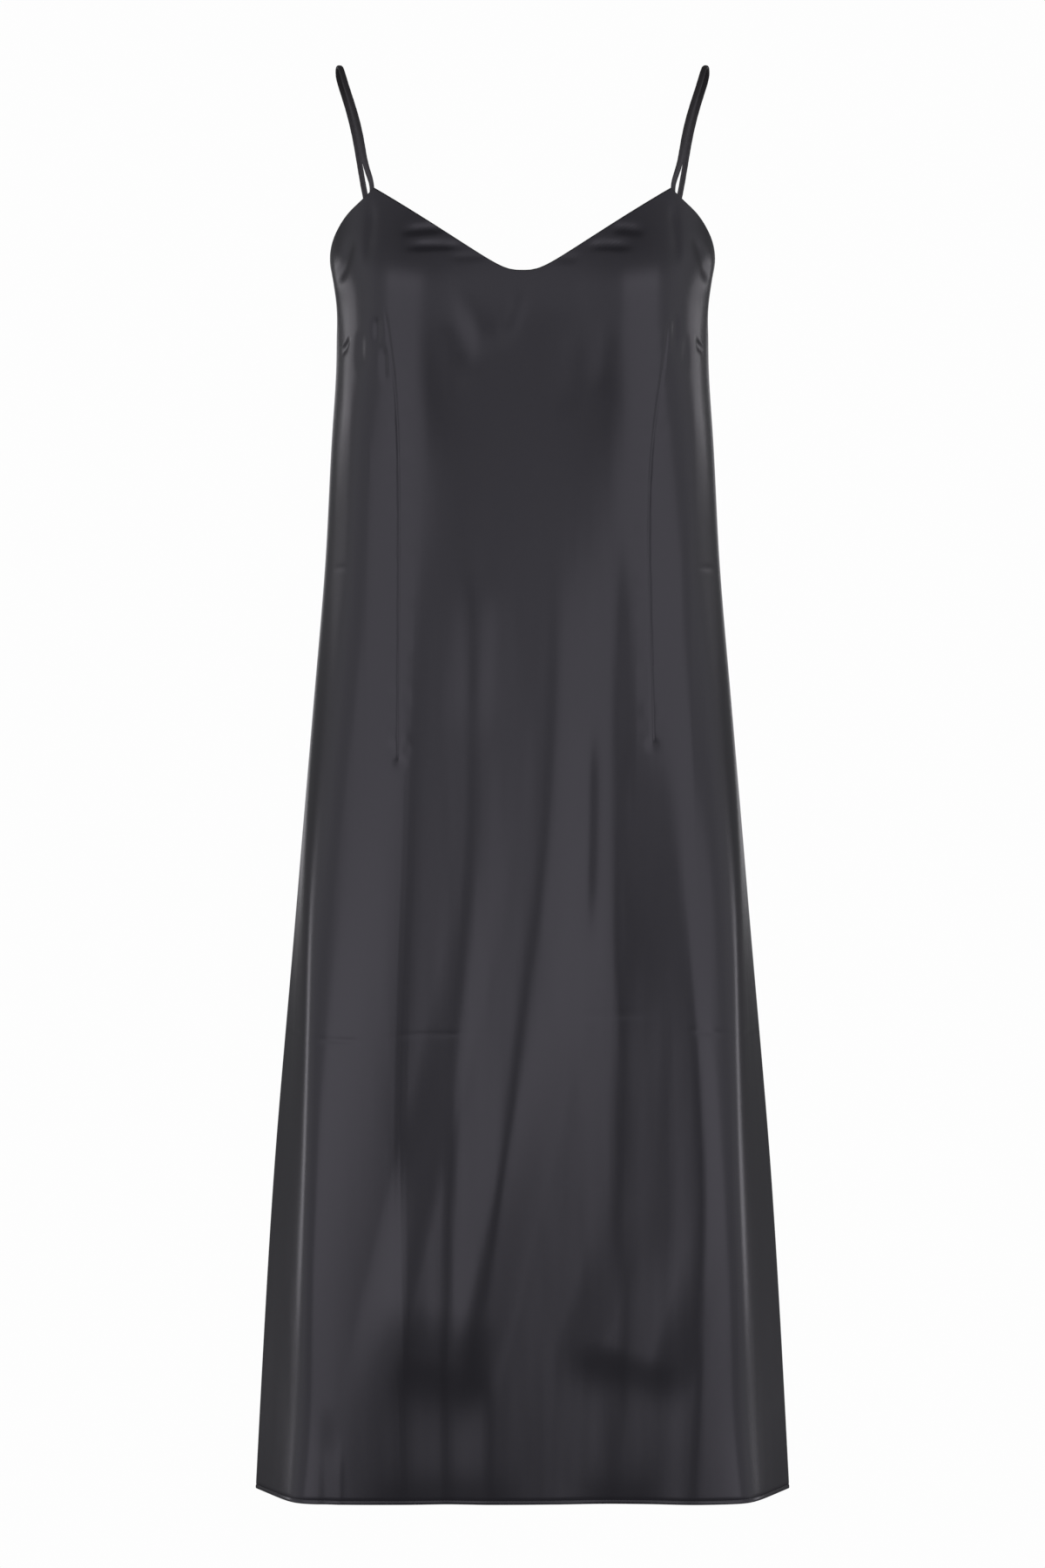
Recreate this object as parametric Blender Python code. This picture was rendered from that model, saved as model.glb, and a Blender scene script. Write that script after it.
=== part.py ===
"""A slip dress of satin: a front and a back panel, sewn together at the side seams
and held up by two rouleau shoulder straps.

Metres, +Z up, +X to the right as seen from the front, front towards -Y.  The origin
lies midway between the tops of the two straps, level with their undersides, which rest
on the shoulders.  Every piece is a wall or a cord in the form it has when worn, with
nobody in it.
"""

import bpy
import numpy as np

# Cloth and seams.
WALL = 0.0014
SEAM_GAP = 0.0003
HEM_HEIGHT = -1.183
UNDERARM_HEIGHT = -0.199

# Where the top edges peak, under the straps.
PEAK_X = {"front": 0.1218, "back": 0.1174}

# Neckline at the front: a V with straight sides and a rounded foot.
NECK_FOOT_HEIGHT = -0.1802
NECK_STEEPNESS = 0.675
NECK_FOOT_RADIUS = 0.0157

# Top edge at the back, lowest at the centre.
BACK_PEAK_HEIGHT = -0.170
BACK_CENTRE_HEIGHT = -0.187

# Level sections of the dress.  front_flat and back_flat say how far the section stays
# flat across before it turns the corner, 2 being an ellipse.  front_side and back_side
# are the angles, in degrees, at which the cloth leaves the side seam, 90 being round,
# and corner how sharply it bends from there to the flat.  seam_forward is how far the
# side seam lies in front of the widest place, along the cloth.
SECTION_COLUMNS = ("height", "half_width", "front_depth", "back_depth", "front_flat",
                   "back_flat", "front_side", "back_side", "corner", "seam_forward")
SECTIONS = (
    (-1.190, 0.2235, 0.0870, 0.096, 12.0, 5.0, 72.0, 71.0, 3.0, 0.000),
    (-1.115, 0.2196, 0.0865, 0.098, 11.5, 4.9, 64.5, 71.0, 10.0, 0.000),
    (-1.040, 0.2155, 0.0876, 0.100, 11.0, 4.8, 67.0, 71.0, 14.0, 0.000),
    (-0.900, 0.2065, 0.0915, 0.105, 9.5, 4.4, 70.5, 74.0, 14.0, 0.000),
    (-0.760, 0.1944, 0.0955, 0.110, 8.2, 3.8, 77.0, 79.0, 12.0, 0.000),
    (-0.620, 0.1822, 0.0975, 0.106, 6.8, 3.2, 84.0, 85.0, 8.0, 0.000),
    (-0.500, 0.1717, 0.0985, 0.089, 5.3, 2.8, 87.5, 87.5, 6.0, 0.000),
    (-0.400, 0.1636, 0.0995, 0.078, 4.5, 2.6, 88.0, 88.0, 6.0, 0.000),
    (-0.300, 0.1577, 0.1025, 0.082, 4.4, 2.6, 88.0, 88.0, 6.0, 0.001),
    (-0.230, 0.1532, 0.1060, 0.088, 3.8, 2.6, 88.0, 88.0, 6.0, 0.005),
    (-0.200, 0.1555, 0.1070, 0.088, 3.3, 2.6, 88.0, 88.0, 6.0, 0.008),
    (-0.165, 0.1610, 0.104, 0.086, 3.0, 2.6, 88.0, 88.0, 6.0, 0.008),
    (-0.135, 0.1592, 0.098, 0.083, 3.0, 2.6, 88.0, 88.0, 6.0, 0.008),
    (-0.100, 0.1550, 0.090, 0.078, 3.0, 2.6, 88.0, 88.0, 6.0, 0.008),
)

# Armhole edges: how much of the drop from the strap to the underarm each has made at
# each share of the way along the cloth.
ARMHOLE_COLUMNS = ("share", "front", "back")
ARMHOLE = (
    (0.00, 0.000, 0.00),
    (0.20, 0.115, 0.00),
    (0.40, 0.208, 0.01),
    (0.60, 0.325, 0.04),
    (0.75, 0.432, 0.12),
    (0.85, 0.548, 0.30),
    (0.93, 0.730, 0.60),
    (1.00, 1.000, 1.00),
)

# Fullness over the bust, one on each side, shaped by the darts below and beside it.
BUST_X = 0.100
BUST_HEIGHT = -0.196
BUST_RISE = 0.0105
BUST_SPREAD_ACROSS = 0.042
BUST_SPREAD_ABOVE = 0.050
BUST_SPREAD_BELOW = 0.105

# Under the arms the cloth is drawn in a little where the two panels meet.
TUCK_HEIGHT = -0.190
TUCK_Y = -0.008
TUCK_RISE = -0.0045
TUCK_SPREAD_ACROSS = 0.014
TUCK_SPREAD_DOWN = 0.022

# The fall of the skirt.  Each row is a line down the cloth on which it bends, a crest
# that stands out by rise or, where that is negative, a valley: its place across at the
# hips, the thighs, the knees and the hem.  The cloth runs almost straight from line to
# line.  FALL_REACHED says how much of its rise a line has at each height.
FALL_COLUMNS = ("rise", "at_hips", "at_thighs", "at_knees", "at_hem")
FALL_PLACES = (-0.42, -0.63, -0.88, -1.19)
FALL_LINES = {
    "front": (
        (0.0000, -0.158, -0.160, -0.164, -0.168),
        (0.0040, -0.087, -0.092, -0.099, -0.093),
        (-0.0015, -0.046, -0.041, -0.057, -0.061),
        (0.0040, 0.028, 0.020, -0.012, -0.030),
        (-0.0056, 0.084, 0.082, 0.076, 0.069),
        (-0.0054, 0.092, 0.089, 0.084, 0.077),
        (-0.0012, 0.116, 0.114, 0.124, 0.114),
        (0.0036, 0.134, 0.135, 0.150, 0.139),
        (0.0000, 0.158, 0.160, 0.173, 0.168),
    ),
    "back": (
        (0.0000, -0.155, -0.162, -0.175, -0.190),
        (0.0045, -0.112, -0.118, -0.128, -0.136),
        (-0.0050, -0.066, -0.070, -0.080, -0.088),
        (0.0040, -0.018, -0.022, -0.026, -0.034),
        (-0.0045, 0.026, 0.028, 0.032, 0.030),
        (0.0050, 0.070, 0.078, 0.082, 0.090),
        (-0.0035, 0.108, 0.116, 0.126, 0.134),
        (0.0000, 0.155, 0.164, 0.176, 0.190),
    ),
}
FALL_REACHED_COLUMNS = ("height", "front", "back")
FALL_REACHED = (
    (-1.190, 0.60, 1.25),
    (-1.060, 0.85, 1.15),
    (-0.900, 1.00, 1.00),
    (-0.700, 1.00, 0.90),
    (-0.560, 0.95, 0.60),
    (-0.460, 0.70, 0.22),
    (-0.400, 0.25, 0.00),
    (-0.340, 0.03, 0.00),
    (-0.290, 0.00, 0.00),
)
FALL_ROUNDING = 0.005
FALL_BLUR = ((-2.0, 0.0625), (-1.0, 0.25), (0.0, 0.375), (1.0, 0.25), (2.0, 0.0625))

# Rouleau straps: a tube of satin pressed to a flat oval.  The route is the middle of
# the right strap, between its two feet, which lie inside the panels, and outward is how
# far its flat side is turned there from the shoulder's middle line to the side.
STRAP_WIDTH = 0.0042
STRAP_THICKNESS = 0.0024
STRAP_FOOT_LENGTH = 0.010
STRAP_FOOT_GAP = 0.00045
STRAP_FOOT_X = {"front": 0.1256, "back": 0.1174}
SHOULDER_RADIUS = 0.045
STRAP_ROUTE_COLUMNS = ("x", "y", "z", "outward")
STRAP_ROUTE = (
    (0.1278, -0.0612, -0.0920, 0.40),
    (0.1325, -0.0550, -0.0700, 0.30),
    (0.1390, -0.0440, -0.0430, 0.10),
    (0.1470, -0.0280, -0.0160, 0.00),
    (0.1530, 0.0000, 0.0012, 0.00),
    (0.1540, 0.0150, -0.0040, 0.00),
    (0.1514, 0.0270, -0.0140, 0.00),
    (0.1460, 0.0370, -0.0315, 0.05),
    (0.1408, 0.0450, -0.0540, 0.15),
    (0.1304, 0.0565, -0.1100, 0.40),
)

# How finely the solids are cut.
NECK_COLUMNS = {"front": 11, "back": 8}
SIDE_COLUMNS = {"front": 11, "back": 10}
ROWS = 34
TOP_CROWDING = 0.30
STRAP_STATIONS = 34
STRAP_SIDES = 10
SECTION_STEPS = 240
NORMAL_STEP = 0.02
TINY = 1e-12
TOP_EDGE_ROUNDS = 30
SHARP_ANGLE = np.radians(40)

SATIN_COLOUR = (0.036, 0.035, 0.040, 1.0)
SATIN_ROUGHNESS = 0.38


def clear_scene():
    """Remove every object that the file starts with."""
    for old in list(bpy.data.objects):
        bpy.data.objects.remove(old, do_unlink=True)


def spline(at, knots, values):
    """Natural cubic spline through the knots, for one or more columns of values."""
    knots = np.asarray(knots, float)
    values = np.asarray(values, float)
    gap = np.diff(knots)
    system = np.eye(len(knots))
    target = np.zeros_like(values)
    for k in range(1, len(knots) - 1):
        system[k, k - 1:k + 2] = gap[k - 1], 2 * (gap[k - 1] + gap[k]), gap[k]
        rise_after = (values[k + 1] - values[k]) / gap[k]
        rise_before = (values[k] - values[k - 1]) / gap[k - 1]
        target[k] = 6 * (rise_after - rise_before)
    bend = np.linalg.solve(system, target)
    low = np.clip(np.searchsorted(knots, at, side="right") - 1, 0, len(knots) - 2)
    shape = np.shape(at) + (1,) * (values.ndim - 1)
    width = gap[low].reshape(shape)
    after = (np.asarray(at) - knots[low]).reshape(shape) / width
    before = 1 - after
    curve = before * values[low] + after * values[low + 1]
    bow = (before ** 3 - before) * bend[low] + (after ** 3 - after) * bend[low + 1]
    return curve + bow * width ** 2 / 6


def section_sizes(height):
    """Sizes of the level section at each height, by name."""
    rows = np.array(SECTIONS)
    sizes = spline(height, rows[:, 0], rows[:, 1:])
    return {name: sizes[..., k] for k, name in enumerate(SECTION_COLUMNS[1:])}


def section_point(turn, sizes):
    """Point of the right half of a section.  turn goes from 0 at the centre front,
    over a quarter circle at the side, to a half circle at the centre back.  The depth
    follows a flattened ellipse, cut off by a straight side that leaves the seam at its
    own angle, with a rounded corner between the two."""
    across = np.clip(np.sin(turn), 0, 1)
    is_front = turn <= np.pi / 2
    flat = np.where(is_front, sizes["front_flat"], sizes["back_flat"])
    depth = np.where(is_front, sizes["front_depth"], sizes["back_depth"])
    angle = np.where(is_front, sizes["front_side"], sizes["back_side"])
    oval = depth * np.sqrt(np.maximum(1 - across ** flat, 0))
    side = sizes["half_width"] * (1 - across) * np.tan(np.radians(angle))
    corner = sizes["corner"]
    larger = np.maximum(np.maximum(oval, side), TINY)
    smaller = np.minimum(oval, side)
    out = smaller / (1 + (smaller / larger) ** corner) ** (1 / corner)
    return sizes["half_width"] * across, np.where(is_front, -out, out)


def turn_at_share(panel, share, height):
    """Turn of the point that lies at a share of the panel's half, along the cloth, from
    its centre line at 0 to the side seam at 1."""
    sizes = section_sizes(height)
    stacked = {name: size[..., None] for name, size in sizes.items()}
    turns = np.linspace(0, np.pi, SECTION_STEPS + 1)
    x, y = section_point(turns, stacked)
    lengths = np.hypot(np.diff(x), np.diff(y))
    along = np.concatenate([np.zeros(lengths.shape[:-1] + (1,)), lengths.cumsum(-1)], -1)
    seam = along[..., SECTION_STEPS // 2] - sizes["seam_forward"]
    if panel == "front":
        goal = share * seam
    else:
        goal = along[..., -1] - share * (along[..., -1] - seam)
    low = np.clip((along < goal[..., None]).sum(-1) - 1, 0, SECTION_STEPS - 1)
    start = np.take_along_axis(along, low[..., None], -1)[..., 0]
    step = np.take_along_axis(lengths, low[..., None], -1)[..., 0]
    return turns[low] + (goal - start) / step * (turns[1] - turns[0])


def bust_rise(x, height):
    """How far the cloth stands out over the bust."""
    spread = np.where(height > BUST_HEIGHT, BUST_SPREAD_ABOVE, BUST_SPREAD_BELOW)
    away = ((np.abs(x) - BUST_X) / BUST_SPREAD_ACROSS) ** 2
    return BUST_RISE * np.exp(-away - ((height - BUST_HEIGHT) / spread) ** 2)


def tuck_rise(y, height):
    """How far the cloth stands out, or lies in, under the arm."""
    away = ((y - TUCK_Y) / TUCK_SPREAD_ACROSS) ** 2
    return TUCK_RISE * np.exp(-away - ((height - TUCK_HEIGHT) / TUCK_SPREAD_DOWN) ** 2)


def fall_rise(panel, x, height):
    """How far the fall of the skirt moves the cloth out: straight from each line's rise
    to the next one's, rounded where they meet."""
    lines = np.array(FALL_LINES[panel])
    rises = lines[:, FALL_COLUMNS.index("rise")]
    reached = np.array(FALL_REACHED)
    share = spline(height, reached[:, 0], reached[:, FALL_REACHED_COLUMNS.index(panel)])
    place = spline(height, FALL_PLACES[::-1], lines[:, :0:-1].T)
    rise = np.zeros_like(x)
    for shift, weight in FALL_BLUR:
        way = (x + shift * FALL_ROUNDING)[..., None] - place[..., :-1]
        way = np.clip(way / (place[..., 1:] - place[..., :-1]), 0, 1)
        rise += weight * (way * np.diff(rises)).sum(-1)
    return rise * np.maximum(share, 0)


def cloth_point(panel, side, share, height, inward=0.0):
    """Point of the panel's outer face, or of a face that lies inward of it.  side is 1
    on the right and -1 on the left.  The cloth is drawn back along itself towards the
    panel's centre line, most at the side, to leave half of the seam's gap there."""
    sizes = section_sizes(height)
    turn = turn_at_share(panel, share, height)
    x, y = section_point(turn, sizes)
    x_after, y_after = section_point(np.minimum(turn + NORMAL_STEP, np.pi), sizes)
    x_before, y_before = section_point(np.maximum(turn - NORMAL_STEP, 0), sizes)
    length = np.hypot(x_after - x_before, y_after - y_before)
    back_x = (x_after - x_before) / length
    back_y = (y_after - y_before) / length
    rise = fall_rise(panel, side * x, height) + tuck_rise(y, height) - inward
    if panel == "front":
        rise = rise + bust_rise(x, height)
        drawn = -share * SEAM_GAP / 2
    else:
        drawn = share * SEAM_GAP / 2
    x = x + rise * back_y + drawn * back_x
    y = y - rise * back_x + drawn * back_y
    return np.stack([side * x, y, height], axis=-1)


def share_at_x(panel, x, height):
    """Share of the panel's half at which its cloth crosses a given x."""
    shares = np.linspace(0, 1, SECTION_STEPS)
    points = cloth_point(panel, 1, shares, np.full(SECTION_STEPS, height))
    return np.interp(x, points[:, 0], shares)


def neck_height(panel, x):
    """Height of the panel's top edge between its two straps."""
    if panel == "front":
        corner = (np.abs(x) ** 3 + NECK_FOOT_RADIUS ** 3) ** (1 / 3)
        return NECK_FOOT_HEIGHT + NECK_STEEPNESS * (corner - NECK_FOOT_RADIUS)
    dip = np.cos(np.clip(x / PEAK_X["back"], -1, 1) * np.pi / 2) ** 2
    return BACK_PEAK_HEIGHT + (BACK_CENTRE_HEIGHT - BACK_PEAK_HEIGHT) * dip


def top_height(panel, shares, peak_share):
    """Height of the top edge over each column: the neckline as far as the strap, and
    the armhole from there to the side seam."""
    armhole = np.array(ARMHOLE)
    way = np.clip((shares - peak_share) / (1 - peak_share), 0, 1)
    drop = spline(way, armhole[:, 0], armhole[:, ARMHOLE_COLUMNS.index(panel)])
    peak_height = neck_height(panel, PEAK_X[panel])
    side = peak_height + (UNDERARM_HEIGHT - peak_height) * drop
    height = np.full(len(shares), neck_height(panel, 0.0))
    for _ in range(TOP_EDGE_ROUNDS):
        height = neck_height(panel, cloth_point(panel, 1, shares, height)[:, 0])
    return np.where(shares < peak_share, height, side)


def panel_shares(panel):
    """Shares at which the panel's columns stand, one of them at the strap."""
    peak = share_at_x(panel, PEAK_X[panel], neck_height(panel, PEAK_X[panel]))
    inner = np.linspace(0, peak, NECK_COLUMNS[panel] + 1)
    outer = np.linspace(peak, 1, SIDE_COLUMNS[panel] + 1)[1:]
    return np.concatenate([inner, outer]), peak


def panel_face(panel, inward):
    """Grid of points over one face of a panel: rows from the hem up, columns from the
    left side seam to the right one."""
    shares, peak = panel_shares(panel)
    top = top_height(panel, shares, peak)
    level = np.linspace(0, 1, ROWS + 1)[:, None]
    level = level + TOP_CROWDING * (level - level ** 2)
    heights = HEM_HEIGHT + (top - HEM_HEIGHT) * level
    spread = np.broadcast_to(shares, heights.shape)
    right = cloth_point(panel, 1, spread, heights, inward)
    left = cloth_point(panel, -1, spread, heights, inward)
    return np.concatenate([left[:, :0:-1], right], axis=1)


def quads_of(rows, columns, first=0):
    """Faces of a grid whose points are numbered row by row from first."""
    quads = []
    for r in range(rows - 1):
        for c in range(columns - 1):
            corner = first + r * columns + c
            quads.append((corner, corner + 1, corner + columns + 1, corner + columns))
    return quads


def wall_mesh(name, outer, inner):
    """Closed wall between two faces on like grids, with its rim all round."""
    rows, columns = outer.shape[:2]
    count = rows * columns
    points = np.concatenate([outer.reshape(-1, 3), inner.reshape(-1, 3)])
    faces = quads_of(rows, columns)
    faces += [quad[::-1] for quad in quads_of(rows, columns, count)]
    rim = [c for c in range(columns)]
    rim += [r * columns + columns - 1 for r in range(1, rows)]
    rim += [(rows - 1) * columns + c for c in range(columns - 2, -1, -1)]
    rim += [r * columns for r in range(rows - 2, 0, -1)]
    for here, there in zip(rim, rim[1:] + rim[:1]):
        faces.append((here, here + count, there + count, there))
    mesh = bpy.data.meshes.new(name)
    mesh.from_pydata(points.tolist(), [], faces)
    return mesh


def satin_material(name):
    """Charcoal satin, smooth and a little glossy."""
    material = bpy.data.materials.new(name)
    material.use_nodes = True
    shader = material.node_tree.nodes["Principled BSDF"]
    shader.inputs["Base Color"].default_value = SATIN_COLOUR
    shader.inputs["Roughness"].default_value = SATIN_ROUGHNESS
    shader.inputs["Metallic"].default_value = 0.0
    return material


def add_piece(name, mesh):
    """Put one piece into the scene, smooth but for its cut edges."""
    mesh.update()
    mesh.shade_smooth()
    mesh.set_sharp_from_angle(angle=SHARP_ANGLE)
    mesh.materials.append(satin_material(name + "_satin"))
    piece = bpy.data.objects.new(name, mesh)
    bpy.context.scene.collection.objects.link(piece)
    return piece


def build_panel(panel):
    """One panel from side seam to side seam.  The back is seen from behind, so its grid
    is turned round to face out."""
    outer = panel_face(panel, 0.0)
    inner = panel_face(panel, WALL)
    if panel == "back":
        outer = outer[:, ::-1]
        inner = inner[:, ::-1]
    return add_piece(panel + "_panel", wall_mesh(panel + "_panel", outer, inner))


def strap_foot(panel):
    """Two points of a strap's end on the inside of a panel, its lower end and the place
    where it passes the panel's edge, and the directions in which the cloth faces out."""
    x = STRAP_FOOT_X[panel]
    inward = WALL + STRAP_FOOT_GAP + STRAP_THICKNESS / 2
    edge = neck_height(panel, x)
    heights = np.array([edge - STRAP_FOOT_LENGTH, edge])
    shares = np.array([share_at_x(panel, x, height) for height in heights])
    face = cloth_point(panel, 1, shares, heights)
    middle = cloth_point(panel, 1, shares, heights, inward)
    return middle, (face - middle) / inward


def strap_path():
    """Middle line of the right strap from its front foot to its back foot, as points
    evenly spaced along a spline, with the direction in which its flat side faces: out
    from the cloth at the feet, and away from the shoulder between them."""
    front, front_out = strap_foot("front")
    back, back_out = strap_foot("back")
    route = np.array(STRAP_ROUTE)
    outward = SHOULDER_RADIUS * route[:, STRAP_ROUTE_COLUMNS.index("outward")]
    away = np.stack([outward, route[:, 1], np.full(len(route), SHOULDER_RADIUS)], 1)
    away /= np.linalg.norm(away, axis=1, keepdims=True)
    places = np.concatenate([front, route[:, :3], back[::-1]])
    facing = np.concatenate([front_out, away, back_out[::-1]])
    chords = np.linalg.norm(np.diff(places, axis=0), axis=1)
    knots = np.concatenate([[0], chords.cumsum()])
    stations = np.linspace(0, knots[-1], STRAP_STATIONS)
    return spline(stations, knots, places), spline(stations, knots, facing)


def build_strap(name, side):
    """A flat oval carried along the strap's path, closed at both ends."""
    path, facing = strap_path()
    along = np.gradient(path, axis=0)
    flat = np.cross(facing, along)
    flat /= np.linalg.norm(flat, axis=1, keepdims=True)
    thick = np.cross(along, flat)
    thick /= np.linalg.norm(thick, axis=1, keepdims=True)
    turn = np.linspace(0, 2 * np.pi, STRAP_SIDES, endpoint=False)
    oval = (np.cos(turn)[:, None] * flat[:, None] * STRAP_WIDTH / 2
            + np.sin(turn)[:, None] * thick[:, None] * STRAP_THICKNESS / 2)
    points = (path[:, None] + oval) * np.array([side, 1.0, 1.0])
    faces = []
    for r in range(STRAP_STATIONS - 1):
        for c in range(STRAP_SIDES):
            after = (c + 1) % STRAP_SIDES
            ring = r * STRAP_SIDES
            faces.append((ring + c, ring + after, ring + STRAP_SIDES + after,
                          ring + STRAP_SIDES + c))
    last = (STRAP_STATIONS - 1) * STRAP_SIDES
    faces.append(tuple(range(STRAP_SIDES))[::-1])
    faces.append(tuple(range(last, last + STRAP_SIDES)))
    if side < 0:
        faces = [face[::-1] for face in faces]
    mesh = bpy.data.meshes.new(name)
    mesh.from_pydata(points.reshape(-1, 3).tolist(), [], faces)
    return add_piece(name, mesh)


clear_scene()
build_panel("front")
build_panel("back")
build_strap("strap_right", 1)
build_strap("strap_left", -1)
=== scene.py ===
"""A slip dress of charcoal satin: a front and a back panel sewn together at the side
seams, a narrow machined hem, and two rouleau shoulder straps, hanging as it is worn.

Metres, +Z up, front towards -Y.  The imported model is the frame: every piece here is
worked out in its place and rides on the body root.
"""

import bpy
import numpy as np
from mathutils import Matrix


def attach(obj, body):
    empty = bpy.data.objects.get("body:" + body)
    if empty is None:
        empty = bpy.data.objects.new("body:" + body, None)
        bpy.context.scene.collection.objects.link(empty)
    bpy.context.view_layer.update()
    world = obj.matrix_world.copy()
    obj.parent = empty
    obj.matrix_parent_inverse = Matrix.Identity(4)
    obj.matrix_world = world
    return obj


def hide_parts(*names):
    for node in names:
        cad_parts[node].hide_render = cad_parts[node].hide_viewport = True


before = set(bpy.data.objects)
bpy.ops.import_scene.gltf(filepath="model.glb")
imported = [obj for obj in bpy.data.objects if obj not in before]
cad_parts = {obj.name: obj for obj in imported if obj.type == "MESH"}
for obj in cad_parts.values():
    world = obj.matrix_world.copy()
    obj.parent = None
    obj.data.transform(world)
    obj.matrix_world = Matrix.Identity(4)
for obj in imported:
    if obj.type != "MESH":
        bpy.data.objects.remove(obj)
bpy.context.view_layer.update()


# ---------------------------------------------------------------------------------
# The view.  A long lens stands level with the middle of the dress, straight in front,
# far enough off that the whole length fits a tall frame with a narrow margin.
EYE = (0.0, -3.631, -0.5964)
LENS_MM = 100.0
LONG_SIDE_MM = 36.0

camera_data = bpy.data.cameras.new("view")
camera_data.lens = LENS_MM
camera_data.sensor_width = LONG_SIDE_MM
camera = bpy.data.objects.new("view", camera_data)
camera.location = EYE
camera.rotation_euler = (np.pi / 2, 0.0, 0.0)
bpy.context.scene.collection.objects.link(camera)
bpy.context.scene.camera = camera
bpy.context.scene.view_settings.view_transform = "Standard"


# ---------------------------------------------------------------------------------
# The studio.  A wide pale floor lies well below the hem and runs into pale air all
# round.  Seen straight on both are white; as a source of light the air is soft in
# front, dim behind, overhead and low down, where the floor takes over, and dark in the
# opening that is left between the two front lights for the camera.
FLOOR_HEIGHT = -1.62
FLOOR_REACH = 30.0
PALE = (0.985, 0.985, 0.985, 1.0)
THROWN = (0.955, 0.955, 0.995, 1.0)
SEEN_GLOW = 1.0
FLOOR_GLOW = 0.30
AIR_IN_FRONT = 0.68
AIR_BEHIND = 0.12
AIR_LOW_SHARE = 0.15
AIR_LOW = (-0.27, -0.15)
AIR_TURN = (0.05, 0.75)
AIR_HIGH = (0.28, 0.50)
AIR_HIGH_SHARE = 0.60
AIR_OVERHEAD = (0.62, 0.82)
AIR_OVERHEAD_SHARE = 0.20
OPENING_HALF = (0.08, 0.16)
OPENING_TOP = (-0.06, -0.005)
OPENING_SHARE = 0.31


def seen_or_thrown(tree, glow, seen, thrown):
    """Strength and colour of a glow: seen and pale for a ray that comes from the eye, and
    otherwise what is thrown, a number or the socket that gives it, a little cooler."""
    path = tree.nodes.new("ShaderNodeLightPath")
    mix = tree.nodes.new("ShaderNodeMix")
    tree.links.new(path.outputs["Is Camera Ray"], mix.inputs["Factor"])
    if isinstance(thrown, float):
        mix.inputs["A"].default_value = thrown
    else:
        tree.links.new(thrown, mix.inputs["A"])
    mix.inputs["B"].default_value = seen
    tree.links.new(mix.outputs["Result"], glow.inputs["Strength"])
    colours = tree.nodes.new("ShaderNodeMixRGB")
    colours.inputs["Color1"].default_value = THROWN
    colours.inputs["Color2"].default_value = PALE
    tree.links.new(path.outputs["Is Camera Ray"], colours.inputs["Fac"])
    tree.links.new(colours.outputs["Color"], glow.inputs["Color"])


floor_material = bpy.data.materials.new("pale_floor")
floor_material.use_nodes = True
floor_tree = floor_material.node_tree
floor_tree.nodes.remove(floor_tree.nodes["Principled BSDF"])
floor_glow = floor_tree.nodes.new("ShaderNodeEmission")
seen_or_thrown(floor_tree, floor_glow, SEEN_GLOW, FLOOR_GLOW)
floor_tree.links.new(floor_glow.outputs[0], floor_tree.nodes["Material Output"].inputs["Surface"])

floor_mesh = bpy.data.meshes.new("floor")
floor_corners = [(sx * FLOOR_REACH, sy * FLOOR_REACH, FLOOR_HEIGHT)
                 for sx, sy in ((-1, -1), (1, -1), (1, 1), (-1, 1))]
floor_mesh.from_pydata(floor_corners, [], [(0, 1, 2, 3)])
floor_mesh.materials.append(floor_material)
floor = bpy.data.objects.new("floor", floor_mesh)
floor.visible_glossy = False
bpy.context.scene.collection.objects.link(floor)

world = bpy.data.worlds.new("pale_air")
world.use_nodes = True
world_tree = world.node_tree
air = world_tree.nodes["Background"]
direction = world_tree.nodes.new("ShaderNodeTexCoord")
parts = world_tree.nodes.new("ShaderNodeSeparateXYZ")
world_tree.links.new(direction.outputs["Generated"], parts.inputs["Vector"])


def smooth_range(tree, value, low, high, at_low, at_high):
    """Value taken smoothly from at_low at low to at_high at high."""
    node = tree.nodes.new("ShaderNodeMapRange")
    node.interpolation_type = "SMOOTHSTEP"
    for socket, number in (("From Min", low), ("From Max", high),
                           ("To Min", at_low), ("To Max", at_high)):
        node.inputs[socket].default_value = number
    tree.links.new(value, node.inputs["Value"])
    return node.outputs["Result"]


def worked_out(tree, operation, *values):
    """Result of one sum on the values, each the socket that gives it."""
    node = tree.nodes.new("ShaderNodeMath")
    node.operation = operation
    for value, socket in zip(values, node.inputs):
        tree.links.new(value, socket)
    return node.outputs[0]


to_the_back = smooth_range(world_tree, parts.outputs["Y"], *AIR_TURN, AIR_IN_FRONT, AIR_BEHIND)
low_down = smooth_range(world_tree, parts.outputs["Z"], *AIR_LOW, AIR_LOW_SHARE, 1.0)
high_up = smooth_range(world_tree, parts.outputs["Z"], *AIR_HIGH, 1.0, AIR_HIGH_SHARE)
overhead = smooth_range(world_tree, parts.outputs["Z"], *AIR_OVERHEAD, 1.0, AIR_OVERHEAD_SHARE)
sideways = worked_out(world_tree, "ABSOLUTE", parts.outputs["X"])
beside = smooth_range(world_tree, sideways, *OPENING_HALF, OPENING_SHARE, 1.0)
above = smooth_range(world_tree, parts.outputs["Z"], *OPENING_TOP, OPENING_SHARE, 1.0)
opening = worked_out(world_tree, "MAXIMUM", beside, above)
air_strength = to_the_back
for share in (low_down, high_up, overhead, opening):
    air_strength = worked_out(world_tree, "MULTIPLY", air_strength, share)
seen_or_thrown(world_tree, air, SEEN_GLOW, air_strength)
bpy.context.scene.world = world

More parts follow.
